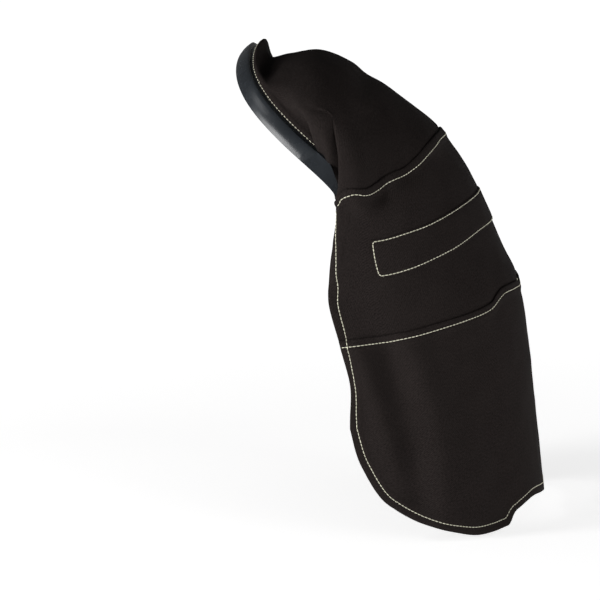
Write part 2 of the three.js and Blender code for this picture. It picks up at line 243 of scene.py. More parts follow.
rubber = Finish("grey_rubber", {"Specular IOR Level": 0.32})
rubber_place = rubber.node("ShaderNodeTexCoord", output="Object")
rubber_clouds = rubber.noise(rubber_place, RUBBER_SCALE, detail=4, roughness=0.6)
rubber.feed("Base Color", rubber.mix(rubber_clouds, RUBBER_DARK, RUBBER_LIGHT))
rubber.feed("Roughness", rubber_clouds * RUBBER_WANDER + RUBBER_ROUGHNESS)
print("finishes:", thread.material.name, rubber.material.name)

# %% [markdown]
# ## The rim
# The trim and the top of the crown panel follow one line, the rim: an arch from ear to ear that leans
# back as it comes down. Its side view is one curve with four handles, and its front view is a half
# ellipse. Everything sewn near the rim is placed by an angle from the crown, a distance back off the rim
# and a distance outwards.

# %% Rim
RIM_HALF_WIDTH = 105
RIM_SIDE_VIEW = ((0, 0), (-10.9, -34.6), (64.6, -76), (73.6, -94.5))
SHELL_CENTRE = np.array((0, 60, -100))
RIM_STEP = 1e-3


def unit(vectors):
    return vectors / np.linalg.norm(vectors, axis=-1, keepdims=True)


def smooth(value, start, end):
    part = np.clip((value - start) / (end - start), 0, 1)
    return part * part * (3 - 2 * part)


def rim_point(angle):
    part = 1 - np.cos(angle)
    weights = ((1 - part) ** 3, 3 * part * (1 - part) ** 2, 3 * part ** 2 * (1 - part), part ** 3)
    back, rise = (sum(w * handle[i] for w, handle in zip(weights, RIM_SIDE_VIEW)) for i in (0, 1))
    return np.stack([RIM_HALF_WIDTH * np.sin(angle), back, rise], -1)


def rim_place(angle, back, out):
    """Points at angles from the crown, off the rim by distances back and outwards."""
    along = unit(rim_point(angle + RIM_STEP) - rim_point(angle - RIM_STEP))
    outwards = rim_point(angle) - SHELL_CENTRE
    outwards = unit(outwards - (outwards * along).sum(-1, keepdims=True) * along)
    backwards = np.cross(outwards, along)
    back, out = np.asarray(back)[..., None], np.asarray(out)[..., None]
    return rim_point(angle) + backwards * back + outwards * out


print("rim ends at", rim_point(np.array(math.pi / 2)).round(1))

# %% [markdown]
# ## Sections of the cloth
# A hood is a bent tube, so it is described by hoops: each starts at the front edge, goes round the back
# and ends at the other front edge. The first three hoops follow the rim; the rest are squarish ellipses.
# The front edges are not left standing: beside the trim each rolls in, as the free edge of soft cloth
# does, and from there down the roll dies away.

# %% Section table
FLANGE_TOP = 0.2
CLOTH = 1.3
SEWN_CLEAR = 0.05
LIFT = FLANGE_TOP + CLOTH / 2 + SEWN_CLEAR
ON_RIM = (10.5, LIFT)
ON_FLANGE = (14.0, LIFT)
# name, at the spine, at the side and at the end: distances back and out; the angle where the hoop ends
RIM_HOOPS = (
    ("rim", ON_RIM, ON_RIM, ON_RIM, 71),
    ("sewn", (13.3, 0.8), ON_FLANGE, ON_FLANGE, 72.3),
    ("collar", (9.8, -11.8), (17.5, 0.9), (15.2, -0.5), 73.8),
)
# name, front edge X Y Z, spine Y Z, roundness, sag of the sides, roll of the front edge: in, back, length
HOOPS = (
    ("brow", (107, 59, -66), (29, -2.9), 2.2, 0, (11, 0, 20)),
    ("crest", (112, 63, -74), (51, -0.8), 2.3, 0, (24, 0, 22)),
    ("crown", (114, 63, -82), (74.4, -10.2), 2.4, 0, (27, 0, 22)),
    ("back", (115, 67.5, -91), (105.1, -31.0), 2.4, 3, (20, -3, 20)),
    ("seam1", (114, 65.3, -100.5), (141, -61), 2.4, 7, (6, 8, 10)),
    ("nape", (114, 64.6, -124), (157.5, -84.1), 2.4, 6, (5, 6, 10)),
    ("strip", (114, 64.4, -150), (171.2, -113.3), 2.4, 6, (4, 2.5, 10)),
    ("low", (115, 67.5, -166), (182.9, -141), 2.4, 5, (-2, -1, 20)),
    ("seam2", (116, 75.7, -199), (195.1, -166.5), 2.4, 5, (-1, -0.5, 20)),
    ("cape1", (117, 81.6, -225), (203.7, -216), 2.4, 3, (0, 0, 20)),
    ("cape2", (119, 81.6, -250), (207.2, -248), 2.4, 3, (0, 0, 20)),
    ("cape3", (121, 82.5, -290), (211.1, -281), 2.4, 4, (0, 0, 20)),
    ("hem", (122, 86, -334), (216, -323.5), 2.4, 5, (0, 0, 20)),
)
SEAM_1, SEAM_2 = 7, 11
LAST = len(RIM_HOOPS) + len(HOOPS) - 1
COLLAR_FADE = (26, 48)
END_BLEND = 6
COURSE_STEPS = 240
print("hoops:", LAST + 1)

# %% [markdown]
# Each hoop is stored as a run of points with its length measured along it, so that a share of the way
# from the front edge (0) to the spine (1) finds the matching point on every hoop.

# %% Courses of the hoops
def measured(points):
    steps = np.linalg.norm(np.diff(points, axis=0), axis=1)
    return points, np.concatenate([[0], np.cumsum(steps)])


def rim_course(spine, side, end, end_angle):
    part = np.linspace(0, 1, COURSE_STEPS + 1)
    angle = end_angle * (1 - part)
    place = np.array(spine) + (np.array(side) - spine) * smooth(angle, *COLLAR_FADE)[:, None]
    place = place + (np.array(end) - place) * ((1 - part) ** END_BLEND)[:, None]
    return measured(rim_place(np.radians(angle), place[:, 0], place[:, 1]))


def hoop_course(front, spine, roundness, sag):
    angle = np.linspace(0, math.pi / 2, COURSE_STEPS + 1)
    along = np.sin(angle) ** (2 / roundness)
    wide = np.maximum(np.cos(angle), 0) ** (2 / roundness)
    wide[-1] = 0
    back = front[1] + (spine[0] - front[1]) * along
    rise = front[2] + (spine[1] - front[2]) * along - sag * np.sin(math.pi * along)
    return measured(np.stack([front[0] * wide, back, rise], -1))


COURSES = [rim_course(*row[1:]) for row in RIM_HOOPS] + [hoop_course(*row[1:5]) for row in HOOPS]
ROLLS = [(0, 0, 1)] * len(RIM_HOOPS) + [row[5] for row in HOOPS]
COURSE_LENGTHS = np.array([reached[-1] for _, reached in COURSES])
print("half girth at the first seam:", round(COURSE_LENGTHS[SEAM_1]), "mm")

# %% [markdown]
# ## Folds
# Soft cloth buckles where it is pulled two ways. Each fold is a curve in the side view with a push: how
# far its middle moves outwards, back and up. The push fades away from the curve. Near the ear a ridge
# that leans forwards over a hollow that leans back makes the deep pleat beside the trim.

# %% Fold table
# name, from, bend and to in Y Z, push out, back and up, share of the push at the two ends, half breadth,
# distances from the middle plane that it covers
FOLDS = (
    ("ear ridge", (50, -31), (84, -36), (80, -94), (-2, -7, 0), (0.2, 1), 6.5, (60, 140)),
    ("ear crest", (60, -32), (88, -44), (87, -94), (7, 0, 0), (0.3, 1), 9, (60, 140)),
    ("ear hollow", (58, -42), (72, -50), (70, -88), (-12, 8, 0), (0.2, 1), 5, (60, 140)),
    ("ear valley", (90, -44), (97, -68), (100, -94), (-6, 0, 0), (0.6, 1), 8, (60, 140)),
    ("crown dent", (84, -14), (87, -30), (90, -48), (-2, -0.5, -2.2), (1, 0.4), 8, (10, 90)),
    ("crown shoulder", (34, -41), (47, -46), (62, -48), (0, 2, 7), (0.1, 1), 9, (90, 140)),
    ("crown ridge", (114, -30), (128, -46), (138, -62), (9, 0, 0), (0.6, 1), 9, (20, 100)),
    ("seam dent", (96, -40), (105, -58), (117, -80), (-5, 0, 0), (0.5, 1), 8, (50, 120)),
    ("nape dent", (140, -72), (142, -82), (146, -95), (-4, -2, 0), (1, 0.6), 13, (30, 110)),
    ("cape ridge 1", (86, -198), (101, -236), (114, -282), (4, 0, 0), (0.9, 0.4), 8, (40, 140)),
    ("cape valley 1", (106, -202), (119, -240), (130, -300), (-5, 0, 0), (0.9, 0.5), 9, (40, 140)),
    ("cape ridge 2", (124, -198), (146, -238), (150, -312), (5, 0, 0), (0.8, 0.8), 12, (40, 140)),
    ("cape valley 2", (166, -205), (178, -260), (188, -322), (-4, -2, 0), (0.3, 1), 11, (40, 120)),
    ("back puff", (172, -150), (184, -160), (192, -158), (1, 0.5, 0), (1, 1), 10, (0, 80)),
)
FOLD_FADE = 22
FOLD_STEPS = 32
SPINE_CALM = 15
FREE_FROM = (1.1, 2.1)


def folded(points, down):
    free = smooth(down, *FREE_FROM)
    away = np.abs(points[:, 0])
    part = np.linspace(0, 1, FOLD_STEPS + 1)[:, None]
    moved = points.copy()
    sideways = np.stack([smooth(away, 0, SPINE_CALM), np.ones(len(away)), np.ones(len(away))], -1)
    for _, start, bend, end, push, ends, breadth, reach in FOLDS:
        weights = ((1 - part) ** 2, 2 * part * (1 - part), part ** 2)
        line = sum(w * np.array(handle) for w, handle in zip(weights, (start, bend, end)))
        gaps = np.linalg.norm(points[:, None, 1:] - line[None], axis=-1)
        nearest = gaps.argmin(1)
        strength = ends[0] + (ends[1] - ends[0]) * nearest / FOLD_STEPS
        outside = np.maximum(np.maximum(reach[0] - away, away - reach[1]), 0)
        fade = (gaps.min(1) / breadth) ** 2 + (outside / FOLD_FADE) ** 2
        weight = free * strength * np.exp(-fade)
        moved += weight[:, None] * np.array(push) * sideways
    return moved


print("folds:", [row[0] for row in FOLDS])

# %% [markdown]
# ## The cloth's middle surface
# A smooth curve through the hoops' matching points is one column of the cloth. A place on the cloth is
# then two numbers: the share of the way to the spine, and how far down the list of hoops.

# %% Surface
def hoop_points(share):
    rows = []
    for (points, reached), (roll_in, roll_back, roll_length) in zip(COURSES, ROLLS):
        distance = share * reached[-1]
        row = np.stack([np.interp(distance, reached, points[:, i]) for i in range(3)], -1)
        roll = np.clip(1 - distance / roll_length, 0, 1) ** 2
        row[:, 0] -= roll_in * roll
        row[:, 1] += roll_back * roll
        rows.append(row)
    return np.array(rows)


def cloth_points(share, down):
    """Points on the left half of the cloth, in millimetres."""
    share, down = (np.asarray(v, float) for v in np.broadcast_arrays(share, down))
    shape = share.shape
    share, down = share.ravel(), down.ravel()
    hoops = hoop_points(share)
    pick = np.arange(len(share))
    low = np.minimum(down.astype(int), LAST - 1)
    part = (down - low)[:, None]
    near, far = hoops[low, pick], hoops[low + 1, pick]
    before = np.where((low > 0)[:, None], hoops[np.maximum(low - 1, 0), pick], 2 * near - far)
    after = np.where((low + 2 <= LAST)[:, None], hoops[np.minimum(low + 2, LAST), pick], 2 * far - near)
    gap_1, gap_2, gap_3 = (
        np.linalg.norm(b - a, axis=1, keepdims=True) ** 0.5
        for a, b in ((before, near), (near, far), (far, after))
    )
    slope_1 = ((near - before) / gap_1 - (far - before) / (gap_1 + gap_2) + (far - near) / gap_2) * gap_2
    slope_2 = ((far - near) / gap_2 - (after - near) / (gap_2 + gap_3) + (after - far) / gap_3) * gap_2
    square = 3 * (far - near) - 2 * slope_1 - slope_2
    cube = 2 * (near - far) + slope_1 + slope_2
    points = near + slope_1 * part + square * part ** 2 + cube * part ** 3
    return folded(points, down).reshape(*shape, 3)


print("spine at the first seam:", cloth_points(1, SEAM_1).round(1))

# %% [markdown]
# ## Seam, strip and hem lines
# A drawn line on cloth is a short table too: the share of the way to the spine, and the place down. The
# two cross seams waver a little, the strip has square ends, and the hem has a rounded front corner and a
# step near the back.

# %% Line tables
SEAM_1_WAVER = (
    (0, 0.12), (0.06, 0.10), (0.09, 0.03), (0.112, -0.045), (0.14, -0.085), (0.165, 0.015), (0.225, 0.035),
    (0.28, 0), (0.38, 0.08), (0.475, 0.08), (0.63, 0.03), (0.78, -0.01), (1, 0),
)
SEAM_2_WAVER = (
    (0, -0.045), (0.10, -0.035), (0.25, -0.005), (0.37, 0.005), (0.46, 0.03), (0.55, 0.05), (0.60, 0.04),
    (0.69, -0.09), (0.80, -0.05), (0.90, 0), (1, 0.03),
)
HEM_LINE = (
    (0, 13.10), (0.018, 13.48), (0.052, 13.88), (0.10, 14.26), (0.145, 14.43), (0.21, 14.61),
    (0.275, 14.73), (0.333, 14.83), (0.42, 14.96), (0.482, 14.99), (0.547, 15), (0.583, 14.98),
    (0.612, 14.84), (0.652, 14.78), (0.718, 14.73), (0.87, 14.80), (1, 14.90),
)
STRIP_TOP_LINE = (
    (0.183, 8.34), (0.225, 8.38), (0.328, 8.44), (0.417, 8.50), (0.542, 8.54), (0.688, 8.555), (1, 8.56),
)
STRIP_LOW_LINE = (
    (0.197, 9.30), (0.238, 9.33), (0.325, 9.34), (0.413, 9.32), (0.532, 9.30), (0.638, 9.25), (1, 9.28),
)
SEAM_TURN = 4.6
# millimetres along the edge from the first seam, and how far in from the edge the hem is sewn there
HEM_STITCH = (
    (0, 6.0), (28, 6.8), (36, 7.2), (53, 6.8), (70, 6.3), (87, 5.9), (104, 5.0), (121, 3.6), (138, 4.0),
    (155, 4.8), (198, 5.3), (232, 5.0), (267, 5.2), (287, 5.8), (308, 5.8), (332, 5.0), (355, 5.6),
    (420, 5.6),
)
STRIP_STITCH = 1.5
TRIM_STITCH_DOWN = 0.26


def table_line(table, mark):
    """A table of marks and places read as a smooth curve."""
    marks, places = np.array(table, float).T
    slopes = np.gradient(places, marks)
    low = np.clip(np.searchsorted(marks, mark, side="right") - 1, 0, len(marks) - 2)
    width = marks[low + 1] - marks[low]
    part = np.clip((mark - marks[low]) / width, 0, 1)
    rise = places[low + 1] - places[low]
    square = 3 * rise - width * (2 * slopes[low] + slopes[low + 1])
    cube = width * (slopes[low] + slopes[low + 1]) - 2 * rise
    return places[low] + width * slopes[low] * part + square * part ** 2 + cube * part ** 3


def step_down(share, down, distance):
    """Places moved down the cloth by a distance in millimetres."""
    step = 0.02
    above, below = cloth_points(share, down - step), cloth_points(share, down + step)
    rate = np.linalg.norm(below - above, axis=-1) / (2 * step)
    return down + distance / rate


def seam_1(share):
    return SEAM_1 + table_line(SEAM_1_WAVER, share)


def seam_2(share):
    return SEAM_2 + table_line(SEAM_2_WAVER, share)


def hem(share):
    return np.minimum(table_line(HEM_LINE, share), LAST)


print("hem at the spine:", round(float(hem(np.array(1.0))), 2))

# %% [markdown]
# ## Stitch lines as runs of points
# The hem's stitches follow the edge all the way round, front edges and corner included, and wander by a
# few millimetres as a row guided by hand does. So that line is made by stepping inwards from the edge by
# the distance in its table: the cloth's two directions at a point say how much of the step is share and
# how much is down.

# %% Stitch lines
LINE_POINTS = 500
STRIP_END_POINTS = 60
HEM_CROWDING = 1.6
STRIP_TOP_CORNER, STRIP_LOW_CORNER = STRIP_TOP_LINE[0], STRIP_LOW_LINE[0]


def directions(share, down):
    """How the cloth runs at places on it: across per share, and down per hoop."""
    small = 1e-3
    before, after = np.maximum(share - small, 0), np.minimum(share + small, 1)
    above, below = np.maximum(down - small, 0), np.minimum(down + small, LAST)
    by_share = (cloth_points(after, down) - cloth_points(before, down)) / (after - before)[:, None]
    by_down = (cloth_points(share, below) - cloth_points(share, above)) / (below - above)[:, None]
    return by_share, by_down


def inwards(share, down, distance):
    """Places moved in from an edge line by distances in millimetres, to the left of its course."""
    points = cloth_points(share, down)
    by_share, by_down = directions(share, down)
    along = unit(np.gradient(points, axis=0))
    normal = unit(np.cross(by_down, by_share))
    step = np.cross(normal, along) * distance[:, None]
    pairs = ((by_share, by_share), (by_share, by_down), (by_down, by_down))
    a, b, c = ((p * q).sum(-1) for p, q in pairs)
    d, e = ((p * step).sum(-1) for p in (by_share, by_down))
    slack = a * c - b * b
    return np.clip(share + (c * d - b * e) / slack, 0, 1), down + (a * e - b * d) / slack


edge_down = np.linspace(SEAM_1 + SEAM_1_WAVER[0][1], HEM_LINE[0][1], LINE_POINTS)[:-1]
hem_share = np.linspace(0, 1, LINE_POINTS) ** HEM_CROWDING
edge_share_run = np.concatenate([np.zeros(len(edge_down)), hem_share])
edge_down_run = np.concatenate([edge_down, hem(hem_share)])
edge_reached = measured(cloth_points(edge_share_run, edge_down_run))[1]
even_share = np.linspace(0, 1, LINE_POINTS)
strip_share = np.linspace(STRIP_TOP_CORNER[0], 1, LINE_POINTS)
strip_low_share = np.linspace(STRIP_LOW_CORNER[0], 1, LINE_POINTS)[::-1]
strip_end = np.linspace(1, 0, STRIP_END_POINTS)[1:-1]
strip_end_share, strip_end_down = (
    top + strip_end * (low - top) for top, low in zip(STRIP_TOP_CORNER, STRIP_LOW_CORNER)
)
strip_low_down = table_line(STRIP_LOW_LINE, strip_low_share)
strip_top_down = table_line(STRIP_TOP_LINE, strip_share)
LINES = {
    "trim": (even_share, np.full(LINE_POINTS, TRIM_STITCH_DOWN)),
    "crown_seam": (even_share, seam_1(even_share)),
    "cape_seam": (even_share, seam_2(even_share)),
    "hem": inwards(edge_share_run, edge_down_run, table_line(HEM_STITCH, edge_reached)),
    "strip": (
        np.concatenate([strip_low_share, strip_end_share, strip_share]),
        np.concatenate([strip_low_down, strip_end_down, strip_top_down]),
    ),
}


def both_sides(left):
    """A run on the left half, continued round the spine on the right."""
    return np.concatenate([left, left[::-1][1:] * (-1, 1, 1)])


STITCH_RUNS = {name: both_sides(cloth_points(*line)) for name, line in LINES.items()}
for name, run in STITCH_RUNS.items():
    print("line", name, round(measured(run)[1][-1]), "mm")

# %% [markdown]
# ## Puckers
# Cloth is never even beside a row of stitches: the thread pulls a narrow groove and the cloth beside it
# ripples. A search tree over the points of each line gives the distance from any spot to the line and the
# place along it. Between the seams, slow waves of noise keep the panels from looking like bent card.

# %% Relief
GROOVE = 0.35
GROOVE_WIDTH = 1.3
PUCKER = 0.30
PUCKER_WIDTH = 8
PUCKER_LENGTH = 8.5
RIPPLE_AT = (7.3, 1.9)
WAVES = ((34, 0.9), (13, 0.28))


class Run:
    """A line to measure from: the distance to it and the place along it."""

    def __init__(self, points):
        self.tree = kdtree.KDTree(len(points))
        for i, point in enumerate(points):
            self.tree.insert(point, i)
        self.tree.balance()
        self.reached = measured(points)[1]

    def near(self, points):
        found = [self.tree.find(point) for point in points]
        return np.array([f[2] for f in found]), self.reached[[f[1] for f in found]]


RUNS = {name: Run(run) for name, run in STITCH_RUNS.items()}


def relief(points, lines, calm):
    """How far the cloth stands out at points, as a single displacement."""
    flat = points.reshape(-1, 3)
    rise = np.zeros(len(flat))
    for length, height in WAVES:
        rise += height * np.array([noise.noise(Vector(p) / length) for p in flat])
    rise *= calm.ravel()
    for name in lines:
        distance, along = RUNS[name].near(flat)
        ripple = np.array([noise.noise(Vector((a / PUCKER_LENGTH, *RIPPLE_AT))) for a in along])
        rise += PUCKER * ripple * np.exp(-(distance / PUCKER_WIDTH) ** 2)
        rise -= GROOVE * np.exp(-(distance / GROOVE_WIDTH) ** 2)
    return rise.reshape(points.shape[:-1])


print("measured lines:", sorted(RUNS))

# %% [markdown]
# ## A sheet with two faces
# Cloth has a thickness, so each panel is a closed wall: an outer face, an inner face and a rounded edge
# between them. A grid is the natural start. Columns crowd towards the front edges, where the cloth rolls,
# and a few lie almost on the edge, so that it can be rounded. The UV map is the cloth as cut: distances
# across and down.

# %% Grid helpers
EDGE_MARKS = (0, 0.0008, 0.0024, 0.005, 0.009)
COLUMNS = 110
CROWDING = 0.5
EDGE_RADIUS = 0.9
EDGE_LEAST = 0.3
EDGE_CLEAR = 1.4
ROW_EDGE = 0.004
ROW_EDGE_PARTS = (0, 0.25, 0.6, 1)
ROW_EDGE_CLEAR = 1.5

even = np.linspace(0, 1, COLUMNS)
crowded = (1 - CROWDING) * even + CROWDING * even ** 3
SHARES = np.unique(np.concatenate([EDGE_MARKS, crowded[crowded > EDGE_MARKS[-1] * EDGE_CLEAR]]))


def mirrored(left):
    return np.concatenate([left, left[:, ::-1][:, 1:] * (-1, 1, 1)], axis=1)


def grid_normals(grid):
    return unit(np.cross(np.gradient(grid, axis=0), np.gradient(grid, axis=1)))


def lengths_along(grid, axis):
    steps = np.linalg.norm(np.diff(grid, axis=axis), axis=-1)
    start = np.zeros_like(np.take(steps, [0], axis=axis))
    return np.cumsum(np.concatenate([start, steps], axis=axis), axis=axis)


def edge_round(distance):
    part = np.clip(distance / EDGE_RADIUS, 0, 1)
    return np.maximum(np.sqrt(1 - (1 - part) ** 2), EDGE_LEAST)


def rim_of_grid(grid):
    """Distance of each grid point from the nearest edge of the grid."""
    across, down = lengths_along(grid, 1), lengths_along(grid, 0)
    return np.minimum(np.minimum(across, across[:, -1:] - across), np.minimum(down, down[-1:] - down))


def rows_between(start, end, count):
    """Places down a panel from one line to another, with a few close to both ends."""
    inner = np.linspace(0, 1, count)
    clear = ROW_EDGE * ROW_EDGE_CLEAR
    inner = inner[(inner > clear) & (inner < 1 - clear)]
    ends = np.array(ROW_EDGE_PARTS) * ROW_EDGE
    shares = np.unique(np.concatenate([ends, inner, 1 - ends]))
    return start + (end - start) * shares[:, None]


print("columns:", 2 * len(SHARES) - 1)


# %% Sheet builder
def new_piece(name, points, faces, material):
    """An object made of points in millimetres and faces, selected on its own."""
    mesh = bpy.data.meshes.new(name)
    mesh.from_pydata((np.array(points) * MM).tolist(), [], faces)
    mesh.materials.append(material)
    piece = bpy.data.objects.new(name, mesh)
    bpy.context.collection.objects.link(piece)
    bpy.ops.object.select_all(action="DESELECT")
    piece.select_set(True)
    bpy.context.view_layer.objects.active = piece
    return piece


def sheet(name, grid, outer, inner, material):
    """A closed cloth wall round a grid of middle points, with distances to its two faces."""
    rows, columns = grid.shape[:2]
    normals = grid_normals(grid)
    faces_at = [grid + normals * outer[..., None], grid - normals * inner[..., None]]
    points = np.concatenate([f.reshape(-1, 3) for f in faces_at])
    index = np.arange(2 * rows * columns).reshape(2, rows, columns)
    front, back = index

    def quads(a, b, c, d):
        return np.stack([v.ravel() for v in (a, b, c, d)], -1)

    faces = np.concatenate([
        quads(front[1:, :-1], front[1:, 1:], front[:-1, 1:], front[:-1, :-1]),
        quads(back[:-1, :-1], back[:-1, 1:], back[1:, 1:], back[1:, :-1]),
        quads(front[0, :-1], front[0, 1:], back[0, 1:], back[0, :-1]),
        quads(back[-1, :-1], back[-1, 1:], front[-1, 1:], front[-1, :-1]),
        quads(front[1:, 0], front[:-1, 0], back[:-1, 0], back[1:, 0]),
        quads(back[1:, -1], back[:-1, -1], front[:-1, -1], front[1:, -1]),
    ])
    piece = new_piece(name, points, faces.tolist(), material)
    cut = np.stack([lengths_along(grid, 1), lengths_along(grid, 0)], -1).reshape(-1, 2) * MM
    layer = piece.data.uv_layers.new(name="cut")
    corners = np.array([loop.vertex_index for loop in piece.data.loops]) % (rows * columns)
    layer.data.foreach_set("uv", cut[corners].ravel())
    bpy.ops.object.shade_smooth()
    print(name, len(faces), "faces")
    return piece


# %% [markdown]
# ## Crown panel
# The crown panel is sewn to the trim along its top and goes under the neck panel at the first seam, where
# its covered end gives way inwards to make room. Its top edge stands up as a stiff collar behind the
# trim, so the waves are kept off it.

# %% Crown panel
CROWN_ROWS = (34, 92)
COLLAR_END = len(RIM_HOOPS)
CALM_FROM = (2.2, 3.5)
TUCKED = 2.5
TUCK_BAND = (2.5, 5.5)
TUCK_DEPTHS = (0.55, 1.6)
SIDE_FADE = (1, 14)
HALF = CLOTH / 2


def away_from_sides(grid):
    """0 at the front edges of a panel, 1 well inside."""
    across = lengths_along(grid, 1)
    return smooth(np.minimum(across, across[:, -1:] - across), *SIDE_FADE)


def tucked_in(grid):
    """How far a panel's covered end gives way inwards: more near the front edges."""
    down = lengths_along(grid, 0)
    depth = TUCK_DEPTHS[1] + (TUCK_DEPTHS[0] - TUCK_DEPTHS[1]) * away_from_sides(grid)
    return depth * (1 - smooth(down[-1:] - down, *TUCK_BAND))


crown_end = step_down(SHARES, seam_1(SHARES), TUCKED - SEAM_TURN)
crown_top = rows_between(0, COLLAR_END, CROWN_ROWS[0])[:-len(ROW_EDGE_PARTS)]
crown_rest = COLLAR_END + (crown_end - COLLAR_END) * np.linspace(0, 1, CROWN_ROWS[1])[:, None]
crown_down = np.concatenate([np.broadcast_to(crown_top, (len(crown_top), len(SHARES))), crown_rest])
crown_grid = mirrored(cloth_points(SHARES, crown_down))
crown_calm = smooth(np.concatenate([crown_down, crown_down[:, ::-1][:, 1:]], axis=1), *CALM_FROM)
crown_rise = relief(crown_grid, ("trim",), crown_calm) - tucked_in(crown_grid)
crown_half = HALF * edge_round(rim_of_grid(crown_grid))
crown = sheet("crown_cloth", crown_grid, crown_half + crown_rise, crown_half - crown_rise, cloth_material)

# %% [markdown]
# ## Neck panel
# The neck panel's top edge is turned under and laid over the crown panel, so it stands out by the turned
# cloth until just past the stitches. Its front edges are hemmed: folded in once more, which makes them
# thicker, most of all inside.

# %% Neck panel
NECK_ROWS = 105
SEAM_LIFT = 1.1
SEAM_BAND = (5.2, 9.5)
SIDE_LEAST = 0.25
HEM_EXTRA = 0.7
HEM_BAND = (7.6, 8.6)
HEM_OUTSIDE, HEM_INSIDE = 0.4, 0.6


def lower_panel(start, end, rows, tuck):
    """Grid of a panel that starts with a turned edge above its seam line, and the lift of that edge."""
    top = step_down(SHARES, start, -SEAM_TURN)
    low = end if tuck is None else step_down(SHARES, end, tuck - SEAM_TURN)
    down = rows_between(top, low, rows)
    grid = mirrored(cloth_points(SHARES, down))
    side = away_from_sides(grid)
    band = 1 - smooth(lengths_along(grid, 0), *SEAM_BAND)
    return grid, SEAM_LIFT * band * (SIDE_LEAST + (1 - SIDE_LEAST) * side)


EDGE_RUN = Run(both_sides(cloth_points(edge_share_run, edge_down_run)))


def hem_extra(grid):
    distance, _ = EDGE_RUN.near(grid.reshape(-1, 3))
    return HEM_EXTRA * (1 - smooth(distance, *HEM_BAND)).reshape(grid.shape[:2])


def hemmed(name, grid, rise):
    """A panel with a folded hem, which stands out a little and in a little more."""
    rounding = edge_round(rim_of_grid(grid))
    extra = hem_extra(grid)
    outer = (HALF + HEM_OUTSIDE * extra) * rounding + rise
    inner = (HALF + HEM_INSIDE * extra) * rounding - rise
    return sheet(name, grid, outer, inner, cloth_material)


neck_grid, neck_lift = lower_panel(seam_1(SHARES), seam_2(SHARES), NECK_ROWS, TUCKED)
neck_waves = relief(neck_grid, ("crown_seam", "hem"), np.ones(neck_grid.shape[:2]))
neck = hemmed("neck_cloth", neck_grid, neck_waves + neck_lift - tucked_in(neck_grid))

# %% [markdown]
# ## Cape
# The cape hangs from the second seam like a curtain and ends in a folded hem, deeper at the sides than at
# the spine. It is made like the neck panel, with the hem line as its lower edge.

# %% Cape
CAPE_ROWS = 105

cape_grid, cape_lift = lower_panel(seam_2(SHARES), hem(SHARES), CAPE_ROWS, None)
cape_waves = relief(cape_grid, ("cape_seam", "hem"), np.ones(cape_grid.shape[:2]))
cape = hemmed("cape_cloth", cape_grid, cape_waves + cape_lift)

# %% [markdown]
# ## Nape strip
# A second layer sewn flat on the neck panel. It shares the neck panel's middle surface and relief, so it
# follows every wave of it, and lies just clear of its outer face.

# %% Nape strip
STRIP_ROWS = 26
STRIP_CLOTH = 1.0
STRIP_CLEAR = 0.08
STRIP_LEAST = 0.3
STRIP_EDGE_MARKS = (0, 0.006, 0.018, 0.036)
STRIP_END_MARGIN = 0.007
STRIP_CROWDING = 0.9

strip_part = np.unique(np.concatenate([np.array(EDGE_MARKS) * STRIP_CROWDING, crowded[2:]]))
strip_edges = np.array(STRIP_EDGE_MARKS)
strip_inner = np.linspace(0, 1, STRIP_ROWS)[1:-1]
strip_marks = np.unique(np.concatenate([strip_edges, strip_inner, 1 - strip_edges]))
strip_slant = STRIP_LOW_CORNER[0] - STRIP_TOP_CORNER[0]
strip_first = STRIP_TOP_CORNER[0] - STRIP_END_MARGIN + strip_slant * strip_marks
strip_across = strip_first[:, None] + (1 - strip_first[:, None]) * strip_part[None]
strip_upper = step_down(strip_across[0], table_line(STRIP_TOP_LINE, strip_across[0]), -STRIP_STITCH)
strip_lower = step_down(strip_across[-1], table_line(STRIP_LOW_LINE, strip_across[-1]), STRIP_STITCH)
strip_down = strip_upper + (strip_lower - strip_upper) * strip_marks[:, None]
strip_grid = mirrored(cloth_points(strip_across, strip_down))
strip_waves = relief(strip_grid, ("crown_seam", "hem"), np.ones(strip_grid.shape[:2]))
strip_base = strip_waves + HALF + STRIP_CLEAR
strip_groove = relief(strip_grid, ("strip",), np.zeros(strip_grid.shape[:2]))
strip_round = edge_round(rim_of_grid(strip_grid))
strip_top = strip_base + np.maximum(STRIP_CLOTH * strip_round + strip_groove, STRIP_LEAST)
strip = sheet("strip_cloth", strip_grid, strip_top, -strip_base, cloth_material)

# %% [markdown]
# ## Rubber trim
# The trim is one extruded rubber profile: a rounded bead with a slot for the rim, and a flat flange. It
# is modelled the way it is made: one outline, pushed along the rim a step at a time. A circle gives the
# outline its corners, the corners are moved to the profile, and its face is extruded from station to
# station.

# %% Trim profile
TRIM_END = math.radians(91.5)
TRIM_STATIONS = 160
# distance back off the rim and outwards, round the profile
TRIM_PROFILE = (
    (12.8, 0.15), (12.3, 0.2), (9.9, 0.2), (9.3, 0.5), (9.2, 1.3), (9.0, 2.6), (8.6, 3.1), (7.8, 3.4),
    (5.8, 3.5), (3.6, 3.4), (1.2, 3.1), (-0.8, 2.6), (-2.2, 2.0), (-3.0, 1.7), (-3.0, 1.4), (4.0, 1.4),
    (4.0, -1.4), (-3.0, -1.4), (-3.0, -2.0), (-2.2, -2.7), (0.4, -2.9), (6.6, -2.9), (8.6, -2.6),
    (9.2, -1.9), (9.4, -1.1), (12.3, -1.0), (12.8, -0.9),
)
CROWN_FADE = np.radians((4, 26))
CROWN_NARROW = 0.3
BEAD_MIDDLE = 4.0
LIP_END = np.radians((71.4, 71.9))
LIP_HEIGHT = 1.5
TRIM_SMOOTH = math.radians(40)
# degrees from the crown, and how far back the profile reaches there
END_TAPER = ((74, 13.0), (78, 9.0), (81, 6.0), (88, 0.0), (92, -2.5))


